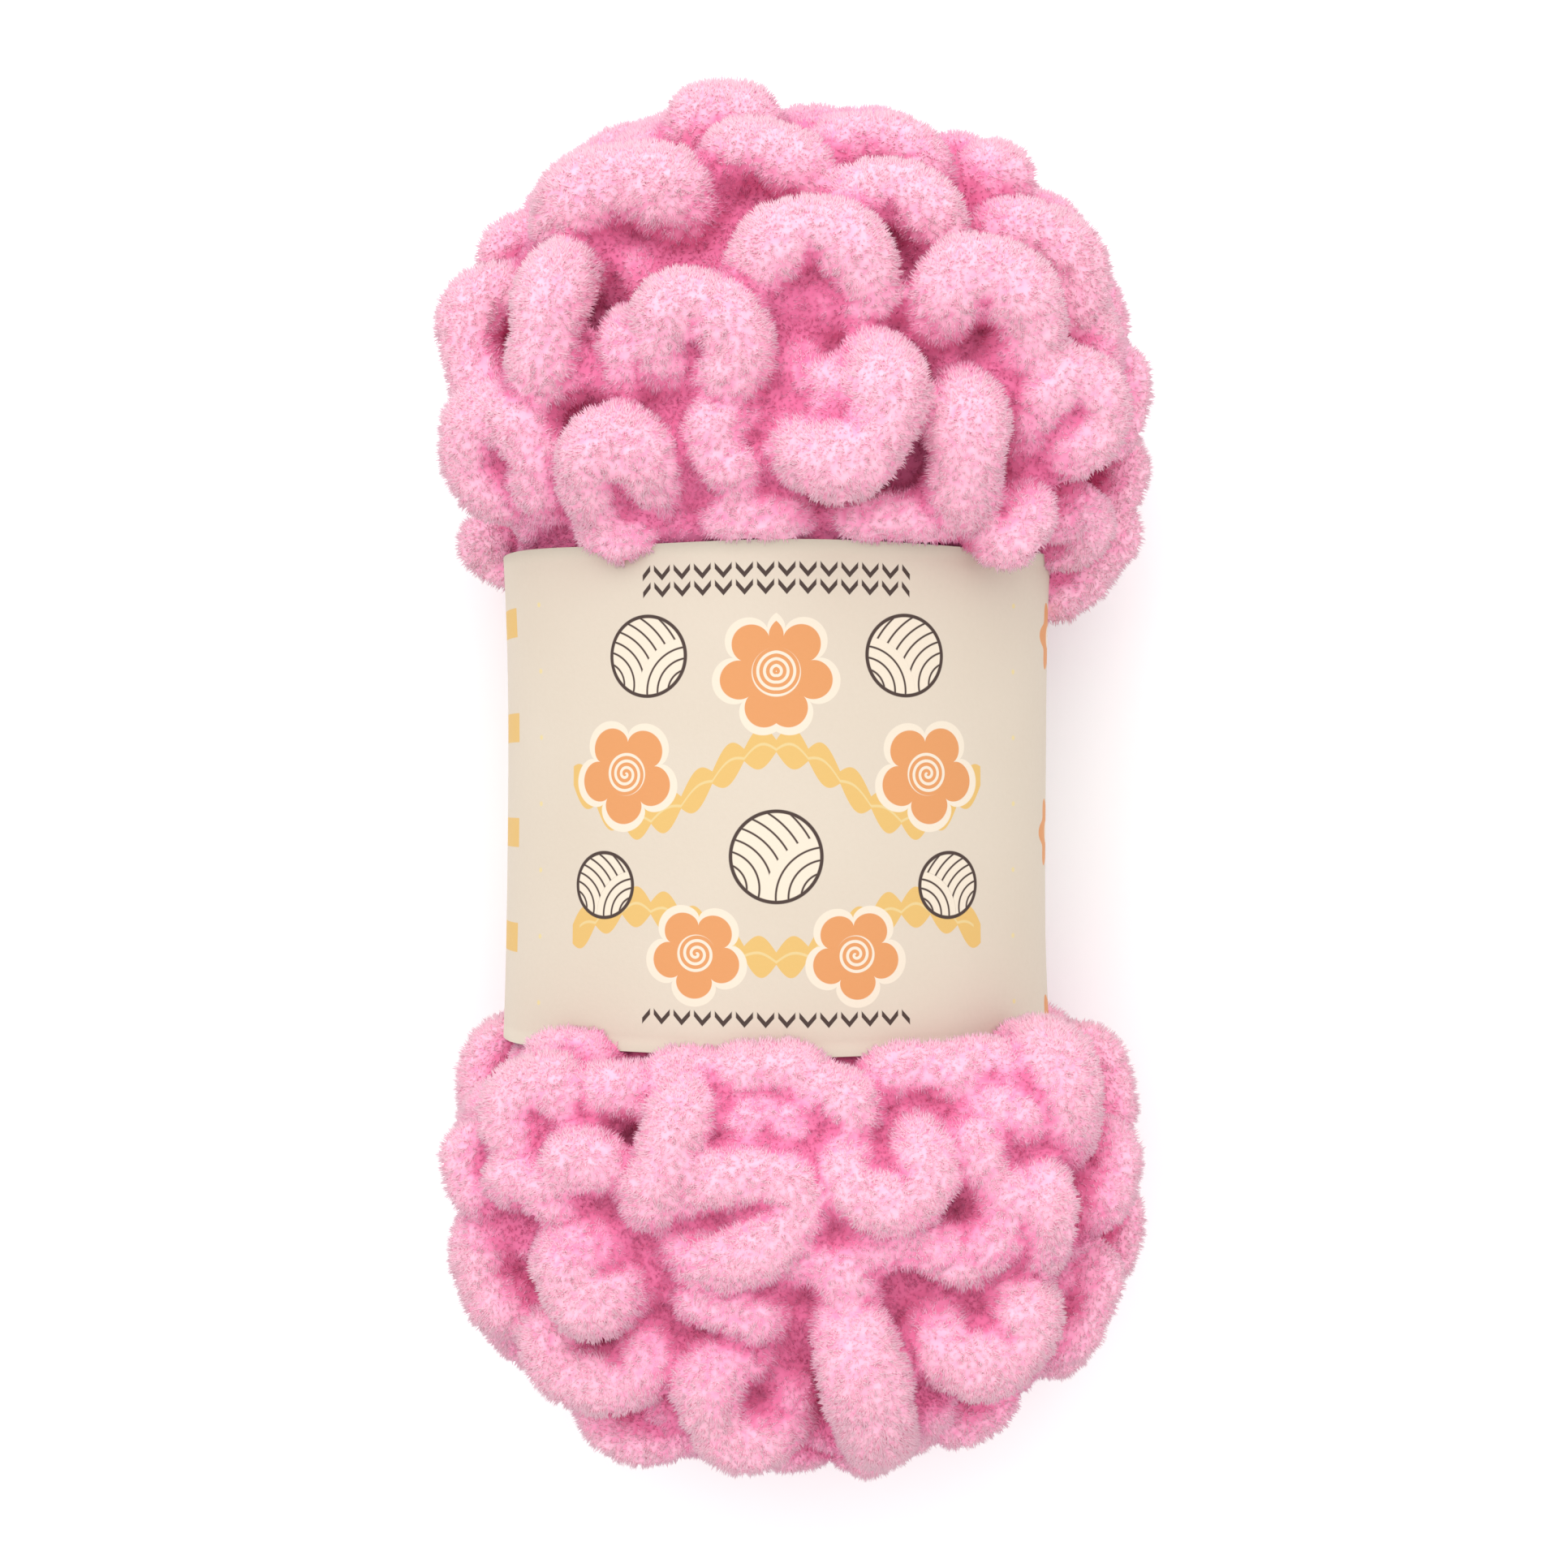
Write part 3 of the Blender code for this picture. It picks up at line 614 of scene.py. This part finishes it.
skins = {}
for end, lobe in LOBES.items():
    points, triangles, normals, hollow, crease, depth, facing = ground(lobe, FRONT_LOOPS[end])
    crack, field, _ = cracks(points)
    points = points + (TUFT_HEIGHT * (np.abs(field) - crack))[:, None] * normals
    points[:, 2] = np.maximum(points[:, 2], GROUND_LIFT)
    normals = corner_normals(points, triangles)

    # Painted shade: the yarn is painted lightest on the crests of the outermost loops that face out, and
    # darkest deep in the skein, in hollows and between loops that meet.
    openness = np.clip(1 - (depth - OUTERMOST) / FADES_OVER, 0, 1)
    crest = np.clip(0.65 - hollow / HOLLOW_DEPTH, 0, 1)
    painted_lightness = 0.04 + 0.94 * (0.25 + 0.75 * crest) * (0.75 * openness + 0.25 * np.clip(facing, 0, 1))
    painted_lightness = painted_lightness * (1 - 0.6 * np.clip(crease / CREASE_DEPTH, 0, 1))

    # Painted shade under the pile: the ground is painted darker than the pile that stands on it, and its v
    # is held towards the darker roots, most of all in the cracks.
    fine, _ = waves(points, FINE_GRAIN, count=7, seed=9)
    shade = np.clip(0.85 * painted_lightness - 0.1 - 0.3 * crack + 0.04 * fine, 0.02, 0.98)
    height = np.clip(0.35 - 0.3 * crack + 0.1 * fine, 0, 1)

    mesh = new_mesh(f"{end}_ground", points, triangles)
    give_uv(mesh, np.stack([shade, height], -1)[triangles])
    mesh.materials.append(plush)
    knit = new_piece(f"{end}_ground", mesh)
    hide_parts("yarn_skein")
    skins[end] = points, triangles, normals, painted_lightness, openness


# ---- The pile ---------------------------------------------------------------------------------------
# Short soft fibres stand on the ground all round the strand and gather in locks. Each lock is a thin
# three-sided spike, and they lean together to the nearest crest of a wavy field, so that cracks open
# between them.

LOCKS = {"front_left": 49000, "front_right": 49000, "back": 30000}  # at each end
LOCK_WIDTH = 0.17 * MM
LOCK_ROOT = 0.15 * MM  # how far a lock's foot is under the ground
PILE_LIFT = 0.05 * MM  # the least height of a lock over the table
LEAN, LEAN_AT_CRACK = 0.15, 0.9  # for 1 straight out, how far a lock leans, and how much more at a crack
MATTED = 0.3  # the random part of its lean
UNDER_EDGE = 4 * MM  # how far the pile goes on under the paper's edges


def pile(name, skin, weight, count, seed):
    """Spikes rooted at random places of the skin: three points round each root and one at its tip. The tip
    stands along the normal, plus the way to the nearer crest of the wavy field, most of all beside a crack,
    plus a random part. Locks are shorter in cracks and in hollows, and their map holds the skin's painted
    shade there, painted a little darker in a crack."""
    points, triangles, normals, painted_lightness, _ = skin
    rng = np.random.default_rng(seed)
    corners = points[triangles]
    area = np.linalg.norm(np.cross(corners[:, 1] - corners[:, 0], corners[:, 2] - corners[:, 0]), axis=1)
    chance = np.cumsum(area * weight[triangles].mean(1))
    chosen = np.searchsorted(chance, rng.random(count) * chance[-1])
    shares = rng.dirichlet((1, 1, 1), count)[..., None]
    root = (corners[chosen] * shares).sum(1)
    normal = unit((normals[triangles[chosen]] * shares).sum(1))
    painted_light = (painted_lightness[triangles[chosen]] * shares[..., 0]).sum(1)

    crack, field, slope = cracks(root)
    crack = crack * np.clip(0.6 - 0.5 * normal[:, 1], 0.15, 1)  # fainter on what faces the top end, towards the lamp, so that both the lean at a crack and its painted shade lie mostly on the sides turned from the lamp
    lean = unit(slope) * (np.sign(field) * (LEAN + LEAN_AT_CRACK * crack))[:, None]
    way = unit(normal + lean + MATTED * rng.normal(size=root.shape))
    length = PILE_LENGTH * rng.uniform(0.75, 1.25, count) * (1 - 0.3 * crack) * (0.65 + 0.4 * painted_light)
    width = LOCK_WIDTH * rng.uniform(0.7, 1.4, count)
    side = unit(np.cross(way, rng.normal(size=root.shape)))
    other = np.cross(way, side)
    turn = np.arange(3) * 2 * math.pi / 3
    round_root = np.cos(turn)[:, None] * side[:, None] + np.sin(turn)[:, None] * other[:, None]
    feet = root[:, None] + width[:, None, None] * round_root - LOCK_ROOT * normal[:, None]
    tip = root + length[:, None] * way
    spikes = np.concatenate([feet, tip[:, None]], 1)
    spikes[..., 2] = np.maximum(spikes[..., 2], PILE_LIFT)

    faces = np.arange(count)[:, None, None] * 4 + np.array([(0, 1, 3), (1, 2, 3), (2, 0, 3)])
    mesh = new_mesh(name, spikes.reshape(-1, 3), faces.reshape(-1, 3))
    # Painted shade: the skin's, a little deeper in a crack, with a random tone for each lock.
    painted_tone = np.clip(painted_light - 0.02 - 0.25 * crack + 0.04 * rng.normal(size=count), 0.02, 0.97)
    u = np.broadcast_to(painted_tone[:, None, None] + np.array([-0.008, 0.008, 0]), (count, 3, 3))
    give_uv(mesh, np.stack(np.broadcast_arrays(u, np.array([0.05, 0.05, 0.97])), -1))
    mesh.materials.append(plush)
    piece = new_piece(name, mesh)
    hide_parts("yarn_skein")


# No pile grows under the paper, and it is densest on what stands out furthest. The front's is split in
# two at the middle of the band, and that of the sides and back is thinner.
for end, skin in skins.items():
    points, _, normals, _, openness = skin
    across_oval = (points[:, 0] - BAND_X) / (BAND_HALF_WIDTH + MM)
    up_oval = (points[:, 2] - AXIS_HEIGHT) / (BAND_HALF_DEPTH + MM)
    under_paper = across_oval**2 + up_oval**2 < 1
    off_band = ~under_paper | (np.abs(points[:, 1] - BAND_Y) > BAND_LENGTH / 2 - UNDER_EDGE)
    front = np.clip(0.5 + normals[:, 2], 0, 1) * (points[:, 2] > 0.4 * AXIS_HEIGHT)
    weight = (1 + 0.3 * openness) * off_band
    left = points[:, 0] < BAND_X
    zones = {"front_left": front * left, "front_right": front * ~left, "back": 1 - front}
    for number, (zone, share) in enumerate(zones.items()):
        pile(f"{end}_{zone}_pile", skin, weight * share, LOCKS[zone], number)


# ---- The band ---------------------------------------------------------------------------------------
# A strip of cream paper is wrapped once round the waist of the skein, laps over its own start at the
# back and is glued there. It is printed on the outside in orange, ochre and dark brown.

PAPER = 0.32 * MM
PAPER_GROW = 0.25 * MM  # from the inner face of its solid to the paper's
LAP = 14 * MM
CLIMB_BEFORE, CLIMB_RUN = 7 * MM, 6 * MM  # where the lap leaves the oval, and how soon it lies on the start
BAND_FLARE = 0.8 * MM  # how far the lobes push its two edges out
AROUND, ALONG = 220, 33
STEPS_ROUND = 2000
MAP_EDGE, MAP_HALF = 0.01, 0.39  # the lower edge and half the breadth of the printed side on the map


def round_the_oval(lengths):
    """Angles on the band's oval at these lengths along it from the back, by measuring two turns of it,
    and its girth."""
    angles = np.linspace(0, 4 * math.pi, 2 * STEPS_ROUND + 1) - math.pi / 2
    x, z = oval(PAPER_GROW, angles)
    travelled = np.concatenate([[0], np.cumsum(np.hypot(np.diff(x), np.diff(z)))])
    return np.interp(lengths, travelled, angles), travelled[STEPS_ROUND]


GIRTH = round_the_oval(np.zeros(1))[1]
STRIP = GIRTH + LAP


def strip_points(along_strip, share, out):
    """A point of the paper at a length along the strip, a share across it from -1 to 1, and a distance out
    of its inner face. The last of the strip climbs on to the first, the edges flare out by the cube of the
    share, and slow waves stand for the loops that push from inside."""
    angles, _ = round_the_oval(along_strip + GIRTH - LAP / 2)
    climb = 1.25 * PAPER * np.clip((along_strip - GIRTH + CLIMB_BEFORE) / CLIMB_RUN, 0, 1)
    push = 0.22 * MM * np.sin(3 * angles + 2.1 * share) * np.sin(2 * angles - 1.3 * share + 0.8)
    push = push + 0.16 * MM * np.sin(7 * angles + 1.1) * share**2
    grow = PAPER_GROW + BAND_FLARE * np.abs(share) ** 3 + climb + push + out
    x, z = oval(grow, angles)
    ragged = 0.25 * MM * np.sin(5 * angles + 0.6) * share
    return np.stack([x, BAND_Y + share * BAND_LENGTH / 2 + ragged + 0 * x, z], -1)


def quads(numbers):
    """The quads between neighbouring numbers of a grid."""
    near, far = numbers[:-1], numbers[1:]
    return np.stack([near[:, :-1], far[:, :-1], far[:, 1:], near[:, 1:]], -1).reshape(-1, 4)


lengths, shares = np.meshgrid(np.linspace(0, STRIP, AROUND), np.linspace(-1, 1, ALONG), indexing="ij")
layers = [strip_points(lengths, shares, out) for out in (0, PAPER)]
grid = np.arange(AROUND * ALONG).reshape(AROUND, ALONG)
outer = grid + AROUND * ALONG
rim = np.concatenate([grid[0], grid[1:, -1], grid[-1, -2::-1], grid[-2::-1, 0]])
rim_quads = quads(np.stack([rim, rim + AROUND * ALONG], 1))
faces = np.concatenate([quads(grid)[:, ::-1], quads(outer), rim_quads])
paper_mesh = new_mesh("paper_band", np.concatenate([layer.reshape(-1, 3) for layer in layers]), faces)

# The map holds the printed outside in its lower 0.8 and the plain inside above it.
unrolled = np.stack([lengths / STRIP, MAP_EDGE + MAP_HALF * (shares + 1)], -1).reshape(-1, 2)
plain = np.stack([lengths / STRIP, 0.82 + 0.08 * (shares + 1)], -1).reshape(-1, 2)
give_uv(paper_mesh, np.concatenate([plain, unrolled])[faces])

# The print is drawn in millimetres from the middle of the front, x along the strip and y across it.
band_paper, paper_shader, wire = surface("printed_paper", {"Specular IOR Level": 0.35})
u, v = own_map(wire)
x = (u - 0.5) * (STRIP / MM)
y = (v - (MAP_EDGE + MAP_HALF)) * (0.5 * BAND_LENGTH / MM / MAP_HALF)
either_side = wire.maths("ABSOLUTE", x)


def ink(past_edge, softness=0.14):
    """1 inside an outline and 0 outside, from the distance past it in millimetres."""
    return wire.maths("MULTIPLY_ADD", past_edge, -1 / softness, 0.5, clamp=True)


def from_point(steps, across, up):
    """How far the steps x or |x| and y are past a point, each and as one length."""
    right, above = steps - across, y - up
    return right, above, (right * right + above * above) ** 0.5


def covered(under, inked, colour):
    """The sheet with this colour printed where the ink is 1."""
    return wire.mixed(inked, under, colour)


PALE = linear(214, 202, 184)
ORANGE = linear(202, 138, 86)
OCHRE = linear(205, 168, 99)
LEMON = linear(208, 190, 141)
BROWN = linear(62, 46, 40)

# Slow stains and a fine mottle of the pulp.
spot = wire.node("ShaderNodeTexCoord", output=3)  # Object
stain = wire.node("ShaderNodeTexNoise", {}, {"Vector": spot, "Scale": 30, "Detail": 2})
pulp = wire.node("ShaderNodeTexNoise", {}, {"Vector": spot, "Scale": 1400, "Detail": 3})
sheet = wire.mixed(stain, linear(195, 182, 165), linear(203, 192, 177))
sheet = wire.mixed(pulp * 0.12, sheet, linear(180, 165, 146))

# Two garlands of ochre leaves, each a wave along the band that swells and narrows.
for height, swing, turn in ((2.5, 6.0, 0.0), (-22.0, 4.0, math.pi)):
    wave = wire.maths("COSINE", x * (2 * math.pi / 46) + turn) * swing + height
    leaf = wire.maths("ABSOLUTE", wire.maths("SINE", x * (math.pi / 5.2)))
    past = wire.maths("ABSOLUTE", y - wave) - (leaf * 2.4 + 1.0)
    ends = either_side - 36
    sheet = covered(sheet, ink(wire.maths("MAXIMUM", past, ends)), OCHRE)
    vein = wire.maths("ABSOLUTE", y - wave - (leaf - 0.5) * 1.2) - 0.22
    sheet = covered(sheet, ink(wire.maths("MAXIMUM", vein, ends + 1.5)) * 0.7, LEMON)

# Orange flowers of rounded petals with a pale outline and a spiral heart.
for across, up, size, petals in ((0, 20.5, 9.5, 6), (25.5, 4.0, 8.5, 5), (13.0, -25.5, 7.5, 5)):
    right, above, away = from_point(either_side, across, up)
    turn = wire.maths("ARCTAN2", above, right)
    petal = wire.maths("ABSOLUTE", wire.maths("COSINE", turn * (petals / 2) + 0.6))
    past = away - (petal**0.6 * (0.36 * size) + 0.62 * size)
    sheet = covered(sheet, ink(past - 1.3), PALE)
    sheet = covered(sheet, ink(past), ORANGE)
    coil = wire.maths("SINE", away * (5.2 / 0.9) - turn)
    heart = wire.maths("MAXIMUM", coil * 0.3 + 0.05, away - 0.42 * size)
    sheet = covered(sheet, ink(heart), PALE)

# Balls of yarn in brown outline. Their windings are arcs round two points outside the ball, the first
# set as far as one arc and the second past it.
BALLS = ((either_side, 21.5, 23.5, 6.6), (x, 0, -9.5, 7.4), (either_side, 29.5, -14.5, 5.4))
for steps, across, up, size in BALLS:
    right, above, away = from_point(steps, across, up)
    sheet = covered(sheet, ink(away - size), PALE)
    outline = wire.maths("ABSOLUTE", away - size) - 0.3
    first, second = (
        ((right - cx * size) ** 2 + (above - cy * size) ** 2) ** 0.5
        for cx, cy in ((-1.1, -0.9), (1.2, -0.7))
    )
    near, far = (
        wire.maths("ABSOLUTE", wire.maths("PINGPONG", reach, size / 3.6 / 2)) - 0.17
        for reach in (first, second)
    )
    past_arc = first - 1.35 * size
    near, far = wire.maths("MAXIMUM", near, past_arc), wire.maths("MAXIMUM", far, -1 * past_arc)
    windings = wire.maths("MAXIMUM", wire.maths("MINIMUM", near, far), away - size)
    sheet = covered(sheet, ink(wire.maths("MINIMUM", outline, windings)), BROWN)

# Rows of knitted stitches in brown, each a V of two short strokes, in the middle of the front and on
# round the back: two rows at the top, one below.
column = wire.maths("PINGPONG", x + 1.7, 1.7)
for height in (36.4, 33.6, -36.8):
    vee = wire.maths("ABSOLUTE", y - height - column * 1.15) - 0.5
    vee = wire.maths("MAXIMUM", vee, column - 1.38)
    bare = 23.8 - wire.maths("ABSOLUTE", either_side - 45.9)
    sheet = covered(sheet, ink(wire.maths("MAXIMUM", vee, bare)), BROWN)

# Down the left side a column of four ochre blocks, and down the right side half flowers in orange.
block = wire.maths("ABSOLUTE", wire.maths("PINGPONG", y - 3.0, 9.0) - 9.0) - 2.5
block = wire.maths("MAXIMUM", block, wire.maths("ABSOLUTE", x - 56.5) - 5.0)
sheet = covered(sheet, ink(wire.maths("MAXIMUM", block, wire.maths("ABSOLUTE", y) - 33)), OCHRE)
rest, over = x + 60, wire.maths("PINGPONG", y + 6.0, 17.0)
away = (rest * rest + over * over) ** 0.5
petal = wire.maths("COSINE", wire.maths("ARCTAN2", over, rest) * 6) * 0.9
sheet = covered(sheet, ink(away - petal - 5.6), ORANGE)
sheet = covered(sheet, ink(away - 1.9), PALE)

# Rows of small lemon dots between the sides and the middle.
dots = wire.maths("PINGPONG", x, 4.4)
across_dots = wire.maths("PINGPONG", y + 1.0, 5.6)
dots = (dots * dots + across_dots * across_dots) ** 0.5 - 0.42
beyond = wire.maths("MAXIMUM", dots, 37.5 - either_side)
sheet = covered(sheet, ink(wire.maths("MAXIMUM", beyond, either_side - 47)), LEMON)

fit(sheet, paper_shader, "Base Color")
fit(0.55 + pulp * 0.2, paper_shader, "Roughness")
grain = wire.node("ShaderNodeBump", {}, {"Strength": 0.25, "Distance": 0.12 * MM, "Height": pulp})
fit(grain, paper_shader, "Normal")
paper_mesh.materials.append(band_paper)
band = new_piece("printed_band", paper_mesh)
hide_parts("paper_band")


# ---- The stage --------------------------------------------------------------------------------------
# A pale matt table, so wide that no edge of it shows, under soft light from all round and a lamp above
# its far edge. The camera looks straight down on the band.

corners = np.array([(-3.0, -3.0, 0), (3.0, -3.0, 0), (3.0, 3.0, 0), (-3.0, 3.0, 0)])
table = new_mesh("table", corners, np.array([(0, 1, 2, 3)]))
table_top = bpy.data.objects.new("table", table)
bpy.context.scene.collection.objects.link(table_top)
matt, _, _ = surface("pale_table", {"Base Color": (0.92, 0.92, 0.92, 1), "Roughness": 0.8})
table.materials.append(matt)

world = bpy.data.worlds.new("studio")
world.use_nodes = True
world.node_tree.nodes["Background"].inputs["Color"].default_value = (1, 1, 1, 1)
world.node_tree.nodes["Background"].inputs["Strength"].default_value = 1.12
bpy.context.scene.world = world

lamp = bpy.data.objects.new("key", bpy.data.lights.new("key", "AREA"))
lamp.data.size = 1.1
lamp.data.energy = 5.2
lamp.location = (-0.12, 0.45, 0.75)
lamp.rotation_euler = (Vector((0, 0, 0.05)) - lamp.location).to_track_quat("-Z", "Y").to_euler()
bpy.context.scene.collection.objects.link(lamp)

camera = bpy.data.objects.new("camera", bpy.data.cameras.new("camera"))
camera.data.lens = 54.25
camera.data.sensor_width = 36
camera.data.clip_start = 0.01
camera.location = (-3.36 * MM, 0.07 * MM, 465 * MM)
bpy.context.scene.collection.objects.link(camera)
bpy.context.scene.camera = camera
bpy.context.scene.view_settings.view_transform = "Standard"
